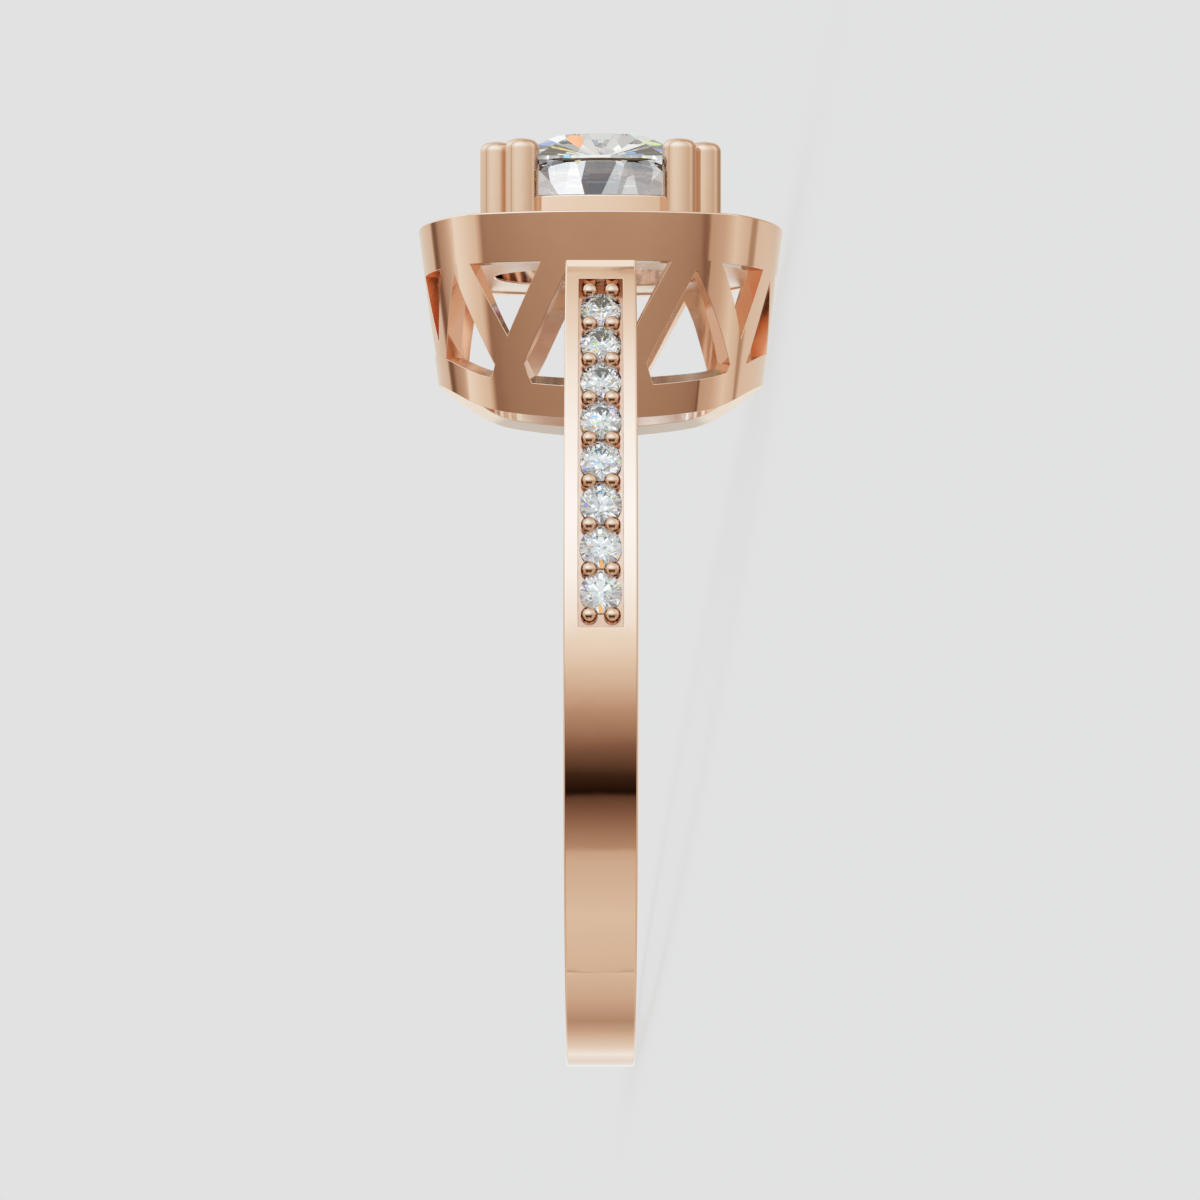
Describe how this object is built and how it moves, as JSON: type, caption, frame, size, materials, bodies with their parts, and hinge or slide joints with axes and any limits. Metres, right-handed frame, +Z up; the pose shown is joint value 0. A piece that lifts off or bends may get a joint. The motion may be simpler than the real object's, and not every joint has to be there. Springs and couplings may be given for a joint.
{
  "type": "halo engagement ring",
  "caption": "Rose gold halo engagement ring with a cushion-cut centre stone, pierced basket and channel-set shoulders.",
  "frame": {"origin": "under the middle of the ring as it lies on its side, on the surface it rests on", "axes": "+X from the back of the shank towards the head and its centre stone, +Y from the near shoulder to the far one, +Z up, close to the finger hole's axis"},
  "size_m": [0.0252, 0.0198, 0.01],
  "materials": {
    "rose_gold": "polished rose gold",
    "diamond": "clear, polished facets"
  },
  "bodies": {
    "root": {"ring_metal": "rose_gold", "centre_stone": "diamond", "halo_stone_01": "diamond", "halo_stone_02": "diamond", "halo_stone_03": "diamond", "halo_stone_04": "diamond", "halo_stone_05": "diamond", "halo_stone_06": "diamond", "halo_stone_07": "diamond", "halo_stone_08": "diamond", "halo_stone_09": "diamond", "halo_stone_10": "diamond", "halo_stone_11": "diamond", "halo_stone_12": "diamond", "halo_stone_13": "diamond", "halo_stone_14": "diamond", "halo_stone_15": "diamond", "halo_stone_16": "diamond", "halo_stone_17": "diamond", "halo_stone_18": "diamond", "halo_stone_19": "diamond", "halo_stone_20": "diamond", "shoulder_stone_near_1": "diamond", "shoulder_stone_near_2": "diamond", "shoulder_stone_near_3": "diamond", "shoulder_stone_near_4": "diamond", "shoulder_stone_near_5": "diamond", "shoulder_stone_near_6": "diamond", "shoulder_stone_near_7": "diamond", "shoulder_stone_near_8": "diamond", "shoulder_stone_far_1": "diamond", "shoulder_stone_far_2": "diamond", "shoulder_stone_far_3": "diamond", "shoulder_stone_far_4": "diamond", "shoulder_stone_far_5": "diamond", "shoulder_stone_far_6": "diamond", "shoulder_stone_far_7": "diamond", "shoulder_stone_far_8": "diamond"}
  },
  "joints": []
}
